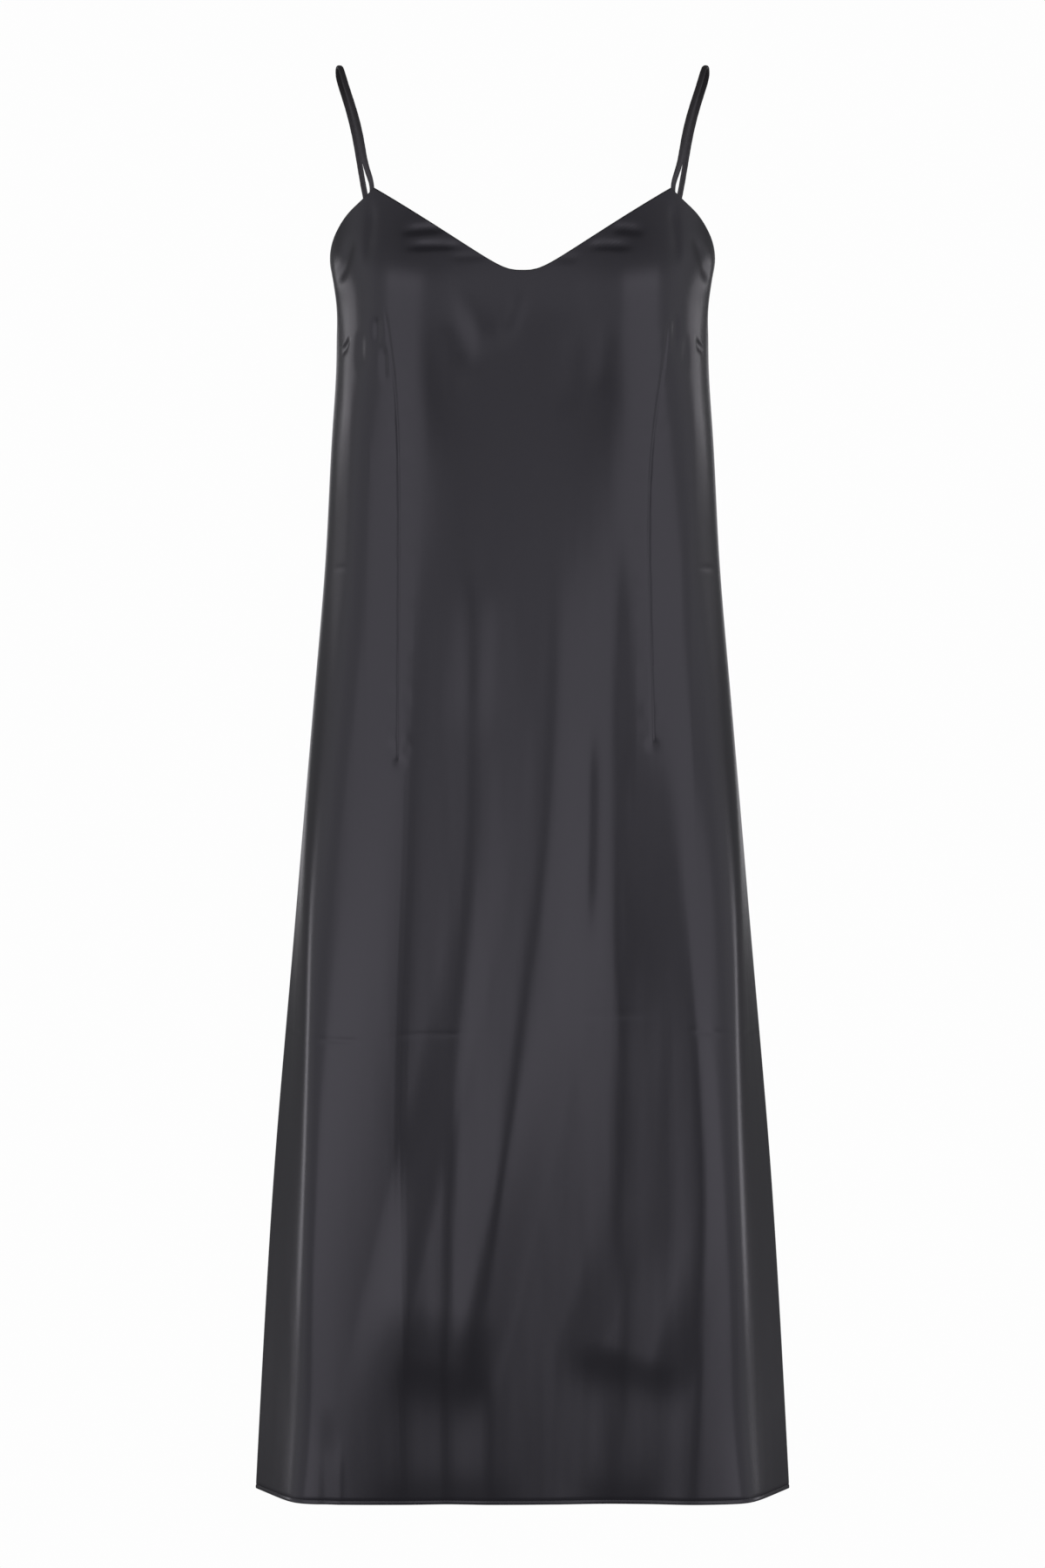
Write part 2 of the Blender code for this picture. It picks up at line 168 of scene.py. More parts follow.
# Soft lights stand round the dress, each a pale cloth frame as bright all over as glow
# says.  azimuth is measured from the front, to the right; height is that of its middle.
LIGHT_COLUMNS = ("name", "azimuth", "distance", "height", "breadth", "tall", "glow")
LIGHTS = (
    ("front_left_top", -38.0, 3.0, 0.95, 3.10, 0.90, 0.62),
    ("front_left_middle", -38.0, 3.0, -0.08, 3.10, 1.14, 0.38),
    ("front_left_low", -33.0, 3.0, -1.13, 2.50, 0.94, 0.74),
    ("front_right_top", 38.0, 3.0, 0.95, 3.10, 0.90, 0.68),
    ("front_right_middle", 38.0, 3.0, -0.185, 3.10, 1.35, 0.43),
    ("front_right_low", 33.0, 3.0, -1.23, 2.50, 0.74, 0.80),
    ("edge_left_top", -127.0, 2.8, 0.045, 1.20, 0.23, 1.12),
    ("edge_left_low", -117.0, 2.8, -0.95, 0.40, 0.74, 2.35),
    ("edge_right_top", 127.0, 2.8, 0.045, 1.20, 0.23, 1.05),
    ("edge_right_low", 117.0, 2.8, -0.95, 0.40, 0.74, 2.25),
    ("behind", 180.0, 3.0, -0.35, 2.20, 2.40, 0.52),
)
LIGHT_COLOUR = (0.98, 0.96, 1.0)
for row in LIGHTS:
    light = dict(zip(LIGHT_COLUMNS, row))
    lamp_data = bpy.data.lights.new(light["name"], "AREA")
    lamp_data.shape = "RECTANGLE"
    lamp_data.size = light["breadth"]
    lamp_data.size_y = light["tall"]
    lamp_data.color = LIGHT_COLOUR
    lamp_data.energy = light["glow"] * np.pi * light["breadth"] * light["tall"]
    lamp = bpy.data.objects.new(light["name"], lamp_data)
    turn = np.radians(light["azimuth"])
    lamp.location = (light["distance"] * np.sin(turn), -light["distance"] * np.cos(turn),
                     light["height"])
    lamp.rotation_euler = (np.pi / 2, 0.0, turn)
    lamp.visible_camera = False
    bpy.context.scene.collection.objects.link(lamp)


# ---------------------------------------------------------------------------------
# Front panel.  One piece of satin from side seam to side seam, shaped by a long
# fisheye dart under each bust point and a short dart at each side, its neck and
# armhole edges turned in and its foot rolled to a narrow hem.

# Main sizes of the dress, the back's too where one function serves both panels.
# SEAM_GAP keeps the panels' edges from touching along the side seams.  Under the arms
# the front's edge also stands out by up to 2 mm, where the bust's fullness reaches it.
HEM_HEIGHT = -1.183
UNDERARM_HEIGHT = -0.199
SEAM_GAP = 0.00002
CLOTH_THICKNESS = 0.0010
PEAK_X = {"front": 0.1218, "back": 0.1174}
NECK_FOOT_HEIGHT = -0.1802
NECK_STEEPNESS = 0.675
NECK_FOOT_RADIUS = 0.0157
BACK_PEAK_HEIGHT = -0.170
BACK_CENTRE_HEIGHT = -0.187

# Level sections of the dress.  flat says how square the oval is, side is the slope of
# the straight side in degrees, corner how sharply side and oval meet, and seam_forward
# how far the side seam lies in front of the widest line.
SECTION_COLUMNS = ("height", "half_width", "front_depth", "back_depth", "front_flat",
                   "back_flat", "front_side", "back_side", "corner", "seam_forward")
SECTIONS = (
    (-1.190, 0.2235, 0.0865, 0.096, 12.0, 5.0, 66.5, 71.0, 8.0, 0.000),
    (-1.115, 0.2196, 0.0868, 0.098, 11.5, 4.9, 65.0, 71.0, 8.0, 0.000),
    (-1.040, 0.2155, 0.0876, 0.100, 11.0, 4.8, 66.5, 71.0, 9.0, 0.000),
    (-0.900, 0.2065, 0.0915, 0.105, 9.5, 4.4, 70.5, 74.0, 9.5, 0.000),
    (-0.760, 0.1944, 0.0955, 0.110, 8.2, 3.8, 77.0, 79.0, 9.5, 0.000),
    (-0.620, 0.1822, 0.0975, 0.106, 6.8, 3.2, 84.0, 85.0, 8.0, 0.000),
    (-0.500, 0.1717, 0.0985, 0.089, 5.3, 2.8, 87.5, 87.5, 6.0, 0.000),
    (-0.400, 0.1636, 0.0995, 0.078, 4.5, 2.6, 88.0, 88.0, 6.0, 0.000),
    (-0.300, 0.1577, 0.1025, 0.082, 4.4, 2.6, 88.0, 88.0, 6.0, 0.001),
    (-0.230, 0.1532, 0.1060, 0.088, 3.8, 2.6, 88.0, 88.0, 6.0, 0.005),
    (-0.200, 0.1555, 0.1070, 0.088, 3.3, 2.6, 88.0, 88.0, 6.0, 0.008),
    (-0.165, 0.1610, 0.104, 0.086, 3.0, 2.6, 88.0, 88.0, 6.0, 0.008),
    (-0.135, 0.1592, 0.098, 0.083, 3.0, 2.6, 88.0, 88.0, 6.0, 0.008),
    (-0.100, 0.1550, 0.090, 0.078, 3.0, 2.6, 88.0, 88.0, 6.0, 0.008),
)
# Armholes: how far the top edge has dropped from the strap to the underarm, as a share of
# the whole drop, by the share of the way along the cloth.
ARMHOLE_COLUMNS = ("share", "front", "back")
ARMHOLE = (
    (0.00, 0.000, 0.00),
    (0.20, 0.115, 0.00),
    (0.40, 0.208, 0.01),
    (0.60, 0.325, 0.04),
    (0.75, 0.432, 0.12),
    (0.85, 0.548, 0.30),
    (0.93, 0.730, 0.60),
    (1.00, 1.000, 1.00),
)
BUST_X = 0.100
BUST_HEIGHT = -0.196
BUST_RISE = 0.0105
BUST_SPREAD_ACROSS = 0.042
BUST_SPREAD_ABOVE = 0.050
BUST_SPREAD_BELOW = 0.105
TUCK_HEIGHT = -0.190
TUCK_Y = -0.008
TUCK_RISE = -0.0045
TUCK_SPREAD_ACROSS = 0.014
TUCK_SPREAD_DOWN = 0.022

# The fall of the skirt.  Each row is a line down the cloth on which it bends, a crest
# that stands out by rise or, where that is negative, a valley: its place across at the
# hips, the thighs, the knees and the hem.  The cloth runs almost straight from line to
# line.  FALL_REACHED says how much of its rise a line has at each height.
FALL_COLUMNS = ("rise", "at_hips", "at_thighs", "at_knees", "at_hem")
FALL_PLACES = (-0.42, -0.63, -0.88, -1.19)
FALL_LINES = {
    "front": (
        (0.0000, -0.158, -0.160, -0.164, -0.168),
        (0.0040, -0.087, -0.092, -0.099, -0.093),
        (-0.0015, -0.046, -0.041, -0.057, -0.061),
        (0.0040, 0.028, 0.020, -0.012, -0.030),
        (-0.0056, 0.084, 0.082, 0.076, 0.069),
        (-0.0054, 0.092, 0.089, 0.084, 0.077),
        (-0.0012, 0.116, 0.114, 0.124, 0.114),
        (0.0036, 0.134, 0.135, 0.150, 0.139),
        (0.0000, 0.158, 0.160, 0.173, 0.168),
    ),
    "back": (
        (0.0000, -0.155, -0.162, -0.175, -0.190),
        (0.0045, -0.112, -0.118, -0.128, -0.136),
        (-0.0050, -0.066, -0.070, -0.080, -0.088),
        (0.0040, -0.018, -0.022, -0.026, -0.034),
        (-0.0045, 0.026, 0.028, 0.032, 0.030),
        (0.0050, 0.070, 0.078, 0.082, 0.090),
        (-0.0035, 0.108, 0.116, 0.126, 0.134),
        (0.0000, 0.155, 0.164, 0.176, 0.190),
    ),
}
FALL_REACHED_COLUMNS = ("height", "front", "back")
FALL_REACHED = (
    (-1.190, 0.60, 1.25),
    (-1.060, 0.85, 1.15),
    (-0.900, 1.00, 1.00),
    (-0.700, 1.00, 0.90),
    (-0.560, 0.95, 0.60),
    (-0.460, 0.70, 0.22),
    (-0.400, 0.25, 0.00),
    (-0.340, 0.03, 0.00),
    (-0.290, 0.00, 0.00),
)
FALL_ROUNDING = 0.005
FALL_BLUR = ((-2.0, 0.0625), (-1.0, 0.25), (0.0, 0.375), (1.0, 0.25), (2.0, 0.0625))

# Creases, each a soft trough or, where rise is above 0, a ridge.  It runs from its
# first point to its second, bowed to its left by bow, is as broad as near on its left
# and far on its right, and comes up over CREASE_FADE of its length at either end.
CREASE_FADE = 0.35
CREASE_COLUMNS = ("x_from", "z_from", "x_to", "z_to", "bow", "near", "far", "rise")
FRONT_CREASES = (
    # drawn out from the neckline towards the straps
    (-0.1000, -0.1488, -0.0590, -0.1462, 0.001, 0.0042, 0.0028, -0.0012),
    (-0.0970, -0.1616, -0.0450, -0.1612, 0.001, 0.0042, 0.0024, -0.0013),
    (-0.0620, -0.1704, -0.0270, -0.1686, 0.000, 0.0028, 0.0024, -0.0007),
    (0.0690, -0.1462, 0.1000, -0.1484, 0.001, 0.0042, 0.0028, -0.0011),
    (0.0490, -0.1612, 0.0910, -0.1616, 0.001, 0.0042, 0.0024, -0.0012),
    (0.0250, -0.1702, 0.0480, -0.1712, 0.000, 0.0028, 0.0024, -0.0007),
    # under the straps and into the armholes
    (-0.1230, -0.1160, -0.1240, -0.1760, 0.001, 0.0050, 0.0040, -0.0011),
    (0.1215, -0.1160, 0.1225, -0.1760, 0.001, 0.0040, 0.0050, -0.0011),
    (-0.1390, -0.1440, -0.1500, -0.1880, 0.002, 0.0050, 0.0060, -0.0014),
    (0.1390, -0.1440, 0.1500, -0.1880, 0.002, 0.0060, 0.0050, -0.0014),
    # a soft V below the neckline
    (-0.0540, -0.1900, -0.0260, -0.2520, 0.002, 0.0080, 0.0100, -0.0006),
    (0.0020, -0.1900, -0.0200, -0.2460, 0.002, 0.0070, 0.0090, -0.0006),
    (-0.0640, -0.2060, -0.0400, -0.2660, 0.002, 0.0100, 0.0100, 0.0006),
    (0.0430, -0.2180, 0.0340, -0.3050, 0.001, 0.0100, 0.0110, 0.0003),
    (0.0720, -0.2080, 0.0620, -0.2860, 0.001, 0.0100, 0.0100, 0.0004),
    # dimples beside the darts' upper ends
    (-0.1130, -0.2140, -0.1140, -0.2420, 0.000, 0.0034, 0.0034, -0.0015),
    (-0.1080, -0.2400, -0.1090, -0.2700, 0.000, 0.0026, 0.0034, -0.0013),
    (-0.1270, -0.2240, -0.1280, -0.2600, 0.000, 0.0040, 0.0050, -0.0011),
    (0.1200, -0.2100, 0.1195, -0.2460, 0.000, 0.0034, 0.0034, -0.0014),
    (0.1290, -0.2250, 0.1280, -0.2620, 0.000, 0.0040, 0.0040, -0.0006),
    # where the dress lay folded in its packing
    (-0.1600, -0.4194, -0.1190, -0.4190, 0.000, 0.0020, 0.0020, -0.00012),
    (0.1290, -0.4194, 0.1620, -0.4190, 0.000, 0.0020, 0.0020, -0.00014),
    (-0.1980, -0.7990, -0.1790, -0.8020, 0.000, 0.0020, 0.0020, -0.0005),
    (-0.1800, -0.8040, -0.1260, -0.8056, 0.000, 0.0024, 0.0024, -0.00026),
    (-0.1150, -0.8010, -0.0270, -0.8000, 0.001, 0.0024, 0.0024, -0.00016),
    (0.0420, -0.7860, 0.1130, -0.7850, 0.001, 0.0024, 0.0024, -0.00014),
    (0.1320, -0.7960, 0.1790, -0.8010, 0.000, 0.0024, 0.0024, -0.00026),
    (0.1790, -0.8020, 0.1980, -0.7990, 0.000, 0.0020, 0.0020, -0.0005),
    (-0.1292, -0.4400, -0.1296, -0.7500, 0.000, 0.0020, 0.0020, -0.00012),
    (0.1328, -0.4300, 0.1330, -0.6100, 0.000, 0.0020, 0.0020, -0.00012),
    (-0.1228, -0.3080, -0.1230, -0.3560, 0.000, 0.0016, 0.0016, 0.00014),
    # the cloth beside the bust, drawn flat towards the side seams
    (-0.1380, -0.2100, -0.1340, -0.4900, 0.000, 0.0260, 0.0110, 0.0014),
    (0.1380, -0.2100, 0.1340, -0.4900, 0.000, 0.0110, 0.0260, 0.0014),
    # narrower bends between the falls of the skirt
    (0.0530, -0.5250, 0.0500, -0.7400, 0.001, 0.0070, 0.0130, -0.0013),
    (0.0870, -0.3500, 0.0850, -0.8300, 0.000, 0.0160, 0.0100, 0.0017),
    (0.0950, -0.3800, 0.0940, -0.6200, 0.000, 0.0300, 0.0130, 0.0013),
    (0.1380, -0.3600, 0.1440, -0.8300, 0.000, 0.0160, 0.0340, -0.0030),
    (-0.0340, -0.4200, -0.0430, -0.5700, 0.001, 0.0140, 0.0140, -0.0008),
    (-0.1496, -1.1250, -0.1500, -1.2300, 0.000, 0.0026, 0.0026, 0.0004),
    (-0.1600, -1.1000, -0.1600, -1.2300, 0.000, 0.0080, 0.0060, -0.0009),
    (0.0900, -0.9400, 0.0870, -1.1500, 0.000, 0.0300, 0.0120, -0.0010),
    # swells above the hem
    (-0.1300, -1.0060, -0.0040, -1.0360, 0.003, 0.2400, 0.0620, 0.0050),
    (-0.1120, -1.0560, -0.0180, -1.0800, 0.002, 0.0600, 0.0240, 0.0014),
    (0.0300, -1.0420, 0.1450, -1.0760, 0.003, 0.0800, 0.0260, 0.0028),
    (-0.1350, -1.1960, 0.0050, -1.1960, 0.000, 0.0260, 0.0260, -0.0020),
    (0.0260, -1.1960, 0.1340, -1.1960, 0.000, 0.0260, 0.0260, -0.0020),
)
# Long darts, each the line down which the cloth is pinched and sewn, by heights.  The
# fades are shares of its length, and a pucker marks its foot.
DART_LINE = {
    -1: ((-0.098, -0.1218), (-0.150, -0.1150), (-0.214, -0.1066), (-0.271, -0.1016),
         (-0.340, -0.1002), (-0.460, -0.0998), (-0.579, -0.1000), (-1.183, -0.1010)),
    1: ((-0.098, 0.1218), (-0.150, 0.1180), (-0.221, 0.1136), (-0.257, 0.1108),
        (-0.292, 0.1073), (-0.327, 0.1044), (-0.460, 0.1040), (-1.183, 0.1050)),
}
DART_TOP = {-1: -0.212, 1: -0.218}
DART_FOOT = {-1: -0.5787, 1: -0.5645}
DART_DEPTH = 0.0007
DART_SPREAD = 0.0011
DART_FADE_TOP = 0.04
DART_FADE_FOOT = 0.02
DART_RIPPLE = 0.00028
DART_RIPPLE_AWAY = 0.0055
DART_RIPPLE_SPREAD = 0.0045
DART_RIPPLE_WAVES = (210.0, 83.0)
DART_RIPPLE_SHIFT = 2.1
DART_PUCKER = 0.0008
DART_PUCKER_ACROSS = 0.0040
DART_PUCKER_DOWN = 0.0045
SIDE_DARTS = (
    (-0.1480, -0.2440, -0.1370, -0.2310, 0.000, 0.0012, 0.0016, -0.0012),
    (0.1370, -0.2310, 0.1480, -0.2440, 0.000, 0.0016, 0.0012, -0.0012),
)

# Edges.  The turned ones drop away over their last EDGE_ROLL, and the side seams over
# SEAM_ROLL.  The hem is a roll HEM_ROLL high, with a groove along its stitches whose
# breadth is a share of that.
EDGE_ROLL = 0.0010
EDGE_DROP = 0.00045
SEAM_ROLL = 0.0016
SEAM_DROP = 0.0007
HEM_ROLL = 0.0030
HEM_SWELL = 0.00014
HEM_GROOVE = 0.000252
HEM_GROOVE_SHARE = 0.22

# How finely the cloth is worked out: its columns, and its rows between these heights.
# The dart's column leaves the dart above COLUMN_SWING_HEIGHT, to end at the strap.
ARC_STEPS = 96
PEAK_STEPS = 400
COLUMN_LEVELS = 200
COLUMN_SWING_HEIGHT = -0.26
TOP_EDGE_ROUNDS = 40
NORMAL_STEP = 0.02
TINY = 1e-12
INNER_COLUMN_STEP = 2
INNER_ROW_STEP = 4
COLUMNS_TO_DART = 52
COLUMNS_TO_SEAM = 72
CROWDING_TO_DART = 1.3
CROWDING_TO_SEAM = 1.25
ROW_BANDS = (
    (-1.183, -1.179, 8),
    (-1.179, -1.120, 24),
    (-1.120, -0.815, 76),
    (-0.815, -0.785, 20),
    (-0.785, -0.590, 44),
    (-0.590, -0.555, 20),
    (-0.555, -0.430, 28),
    (-0.430, -0.409, 12),
    (-0.409, -0.260, 44),
    (-0.260, -0.1815, 40),
    (-0.1815, -0.1802, 4),
)
LEVEL_BELOW = -0.43


def spline(at, knots, values):
    """Natural cubic spline through the knots, for one or more columns of values."""
    knots = np.asarray(knots, float)
    values = np.asarray(values, float)
    gap = np.diff(knots)
    system = np.eye(len(knots))
    target = np.zeros_like(values)
    for k in range(1, len(knots) - 1):
        system[k, k - 1:k + 2] = gap[k - 1], 2 * (gap[k - 1] + gap[k]), gap[k]
        rise_after = (values[k + 1] - values[k]) / gap[k]
        rise_before = (values[k] - values[k - 1]) / gap[k - 1]
        target[k] = 6 * (rise_after - rise_before)
    bend = np.linalg.solve(system, target)
    low = np.clip(np.searchsorted(knots, at, side="right") - 1, 0, len(knots) - 2)
    shape = np.shape(at) + (1,) * (values.ndim - 1)
    width = gap[low].reshape(shape)
    after = (np.asarray(at) - knots[low]).reshape(shape) / width
    before = 1 - after
    curve = before * values[low] + after * values[low + 1]
    bow = (before ** 3 - before) * bend[low] + (after ** 3 - after) * bend[low + 1]
    return curve + bow * width ** 2 / 6


def ease(share):
    """Smooth step: 3 s^2 - 2 s^3 of a share s held between 0 and 1."""
    share = np.clip(share, 0, 1)
    return share * share * (3 - 2 * share)


def section_sizes(height):
    """Sizes of the level section at each height, by name, from splines up the table."""
    rows = np.array(SECTIONS)
    sizes = spline(height, rows[:, 0], rows[:, 1:])
    return {name: sizes[..., k] for k, name in enumerate(SECTION_COLUMNS[1:])}


def section_point(turn, sizes):
    """Point of a section's right half: x is the half width w times the sine of the turn
    u.  y is the smaller of the oval d sqrt(1 - sin(u)^flat) and the straight side
    w (1 - sin(u)) tan(side angle), rounded between the two by a power mean, in front for
    turns under a quarter circle and behind for those over it."""
    across = np.clip(np.sin(turn), 0, 1)
    is_front = turn <= np.pi / 2
    flat = np.where(is_front, sizes["front_flat"], sizes["back_flat"])
    depth = np.where(is_front, sizes["front_depth"], sizes["back_depth"])
    angle = np.where(is_front, sizes["front_side"], sizes["back_side"])
    oval = depth * np.sqrt(np.maximum(1 - across ** flat, 0))
    side = sizes["half_width"] * (1 - across) * np.tan(np.radians(angle))
    larger = np.maximum(np.maximum(oval, side), TINY)
    smaller = np.minimum(oval, side)
    out = smaller / (1 + (smaller / larger) ** sizes["corner"]) ** (1 / sizes["corner"])
    return sizes["half_width"] * across, np.where(is_front, -out, out)


def section_arcs(height):
    """Lengths along each height's section, from the centre front to even turns."""
    sizes = {name: size[..., None] for name, size in section_sizes(height).items()}
    turns = np.linspace(0, np.pi, ARC_STEPS + 1)
    x, y = section_point(turns, sizes)
    steps = np.hypot(np.diff(x), np.diff(y))
    start = np.zeros(steps.shape[:-1] + (1,))
    along = np.concatenate([start, steps.cumsum(-1)], -1)
    return turns, along, along[..., ARC_STEPS // 2] - sizes["seam_forward"][..., 0]


def lengths_beside(along, low):
    """Lengths at the even turn numbered low and at the next one."""
    return [np.take_along_axis(along, turn[..., None], -1)[..., 0] for turn in (low, low + 1)]


def turn_at_share(panel, share, height):
    """Turn at a share of the way along the cloth, from the panel's centre line at 0 to
    its side seam at 1, read off the lengths between even turns."""
    turns, along, seam = section_arcs(height)
    total = along[..., -1]
    goal = share * seam if panel == "front" else total - share * (total - seam)
    low = np.clip((along < goal[..., None]).sum(-1) - 1, 0, ARC_STEPS - 1)
    start, end = lengths_beside(along, low)
    return turns[low] + (goal - start) / (end - start) * (turns[1] - turns[0])


def share_of_x(panel, x, height):
    """Share at which the plain section reaches x, the other way round."""
    turns, along, seam = section_arcs(height)
    turn = np.arcsin(np.clip(x / section_sizes(height)["half_width"], 0, 1))
    if panel == "back":
        turn = np.pi - turn
    place = np.clip(turn / (turns[1] - turns[0]), 0, ARC_STEPS - TINY)
    low = place.astype(int)
    start, end = lengths_beside(along, low)
    length = start + (place - low) * (end - start)
    total = along[..., -1]
    return length / seam if panel == "front" else (total - length) / (total - seam)


def bust_rise(x, height):
    """Fullness over each bust point: a bell in x and in height."""
    spread = np.where(height > BUST_HEIGHT, BUST_SPREAD_ABOVE, BUST_SPREAD_BELOW)
    away = ((np.abs(x) - BUST_X) / BUST_SPREAD_ACROSS) ** 2
    return BUST_RISE * np.exp(-away - ((height - BUST_HEIGHT) / spread) ** 2)


def tuck_rise(y, height):
    """The hollow under each arm: a bell in y and in height."""
    away = ((y - TUCK_Y) / TUCK_SPREAD_ACROSS) ** 2
    return TUCK_RISE * np.exp(-away - ((height - TUCK_HEIGHT) / TUCK_SPREAD_DOWN) ** 2)


def fall_rise(panel, x, height):
    """The fall of the skirt: straight from each line's rise to the next one's, averaged
    over five places across so that the bends are round, times the share reached."""
    lines = np.array(FALL_LINES[panel])
    rises = lines[:, FALL_COLUMNS.index("rise")]
    reached = np.array(FALL_REACHED)
    share = spline(height, reached[:, 0], reached[:, FALL_REACHED_COLUMNS.index(panel)])
    place = spline(height, FALL_PLACES[::-1], lines[:, :0:-1].T)
    rise = np.zeros_like(x)
    for shift, weight in FALL_BLUR:
        way = (x + shift * FALL_ROUNDING)[..., None] - place[..., :-1]
        way = np.clip(way / (place[..., 1:] - place[..., :-1]), 0, 1)
        rise += weight * (way * np.diff(rises)).sum(-1)
    return rise * np.maximum(share, 0)


def crease_rise(creases, x, height):
    """Sum of the creases, each a bell across its bowed line, whose two sides have their
    own breadths, times a swell that is gone at both ends."""
    rise = np.zeros_like(x)
    for row in creases:
        crease = dict(zip(CREASE_COLUMNS, row))
        run = np.array([crease["x_to"] - crease["x_from"], crease["z_to"] - crease["z_from"]])
        length = np.hypot(*run)
        run /= length
        dx = x - crease["x_from"]
        dz = height - crease["z_from"]
        along = (dx * run[0] + dz * run[1]) / length
        left = dz * run[0] - dx * run[1] - 4 * crease["bow"] * along * (1 - along)
        spread = np.where(left > 0, crease["near"], crease["far"])
        strength = ease(along / CREASE_FADE) * ease((1 - along) / CREASE_FADE)
        rise += crease["rise"] * np.exp(-(left / spread) ** 2) * strength
    return rise


def cloth_place(panel, side, share, height, rise_of):
    """Point of the panel's outer face and the direction in which it faces out, from its
    share and height.  side is 1 on the right and -1 on the left.  The cloth is drawn
    back towards its centre line by half the seam's gap at the seam."""
    sizes = section_sizes(height)
    turn = turn_at_share(panel, share, height)
    x, y = section_point(turn, sizes)
    x_after, y_after = section_point(np.minimum(turn + NORMAL_STEP, np.pi), sizes)
    x_before, y_before = section_point(np.maximum(turn - NORMAL_STEP, 0), sizes)
    length = np.hypot(x_after - x_before, y_after - y_before)
    back_x = (x_after - x_before) / length
    back_y = (y_after - y_before) / length
    rise = rise_of(side * x, y, height)
    drawn = share * SEAM_GAP / 2 * (-1 if panel == "front" else 1)
    x = x + rise * back_y + drawn * back_x
    y = y - rise * back_x + drawn * back_y
    level = np.zeros_like(x)
    return np.stack([side * x, y, height], -1), np.stack([side * back_y, -back_x, level], -1)


def front_shape(x, y, height):
    """How far the front stands out where only its main forms count."""
    return fall_rise("front", x, height) + tuck_rise(y, height) + bust_rise(x, height)


def neck_height(panel, x):
    """Height of the top edge between the straps: a V with a round foot at the front, and
    a shallow dip, by a squared cosine, at the back."""
    if panel == "front":
        corner = (np.abs(x) ** 3 + NECK_FOOT_RADIUS ** 3) ** (1 / 3)
        return NECK_FOOT_HEIGHT + NECK_STEEPNESS * (corner - NECK_FOOT_RADIUS)
    dip = np.cos(np.clip(x / PEAK_X["back"], -1, 1) * np.pi / 2) ** 2
    return BACK_PEAK_HEIGHT + (BACK_CENTRE_HEIGHT - BACK_PEAK_HEIGHT) * dip


def cloth_grid(panel, side, column_line, shape):
    """Shares and heights of a panel's half, rows from the hem up and columns from the
    centre line out.  One column stays on the line given by column_line.  Those inside it
    stand at 1 - (1 - s)^c of the way to it, for even shares s and a crowding c, and those
    outside it at s^c of the rest of the way, so that both are closer beside it.  Rows are
    level in the skirt and follow the top edge above."""
    knots = np.array(column_line)[::-1]
    peak_height = neck_height(panel, PEAK_X[panel])
    fine = np.linspace(0, 1, PEAK_STEPS)
    at_peak, _ = cloth_place(panel, side, fine, np.full(PEAK_STEPS, peak_height), shape)
    peak = np.interp(PEAK_X[panel], side * at_peak[:, 0], fine)
    levels = np.linspace(HEM_HEIGHT, peak_height, COLUMN_LEVELS)
    line_x = side * spline(levels, knots[:, 0], knots[:, 1])
    line_share = share_of_x(panel, line_x, levels)
    swing = ease((levels - COLUMN_SWING_HEIGHT) / (peak_height - COLUMN_SWING_HEIGHT))
    line_share = line_share + (peak - line_share[-1]) * swing
    columns = np.concatenate([np.linspace(0, 1, COLUMNS_TO_DART + 1)[:-1],
                              1 + np.linspace(0, 1, COLUMNS_TO_SEAM + 1)])
    near = 1 - (1 - np.clip(columns, 0, 1)) ** CROWDING_TO_DART
    far = np.clip(columns - 1, 0, 1) ** CROWDING_TO_SEAM

    def share_at(height):
        """Share of every column at its height."""
        line = np.interp(height, levels, line_share)
        return np.where(columns <= 1, line * near, line + (1 - line) * far)

    armhole = np.array(ARMHOLE)
    drop_column = ARMHOLE_COLUMNS.index(panel)
    top = np.full(len(columns), neck_height(panel, 0.0))
    for _ in range(TOP_EDGE_ROUNDS):
        share = share_at(top)
        place, _ = cloth_place(panel, side, share, top, shape)
        way = np.clip((share - peak) / (1 - peak), 0, 1)
        drop = spline(way, armhole[:, 0], armhole[:, drop_column])
        on_arm = peak_height + (UNDERARM_HEIGHT - peak_height) * drop
        top = np.where(columns < 1, neck_height(panel, place[:, 0]), on_arm)
    base = np.concatenate([np.linspace(low, high, count, endpoint=False)
                           for low, high, count in ROW_BANDS] + [[ROW_BANDS[-1][1]]])[:, None]
    reach = np.clip((base - LEVEL_BELOW) / (base[-1] - LEVEL_BELOW), 0, 1) ** 2
    heights = base + (top - base[-1]) * reach
    return share_at(heights), heights


def dart_rise(x, height):
    """The long darts: a narrow groove down each line, beside it two low swells that come
    and go, as cloth does that is drawn up on a thread, and a pucker at its foot."""
    rise = np.zeros_like(x)
    quick, slow = DART_RIPPLE_WAVES
    for side in (-1, 1):
        knots = np.array(DART_LINE[side])[::-1]
        away = x - spline(height, knots[:, 0], knots[:, 1])
        run = (DART_TOP[side] - height) / (DART_TOP[side] - DART_FOOT[side])
        strength = ease(run / DART_FADE_TOP) * ease((1 - run) / DART_FADE_FOOT)
        rise -= DART_DEPTH * np.exp(-(away / DART_SPREAD) ** 2) * strength
        ripple = np.sin(height * quick + side) * np.sin(height * slow + DART_RIPPLE_SHIFT * side)
        swell = np.exp(-((np.abs(away) - DART_RIPPLE_AWAY) / DART_RIPPLE_SPREAD) ** 2)
        rise += DART_RIPPLE * swell * strength * ripple
        from_foot = (height - DART_FOOT[side]) / DART_PUCKER_DOWN
        rise -= DART_PUCKER * np.exp(-(away / DART_PUCKER_ACROSS) ** 2 - from_foot ** 2)
    return rise


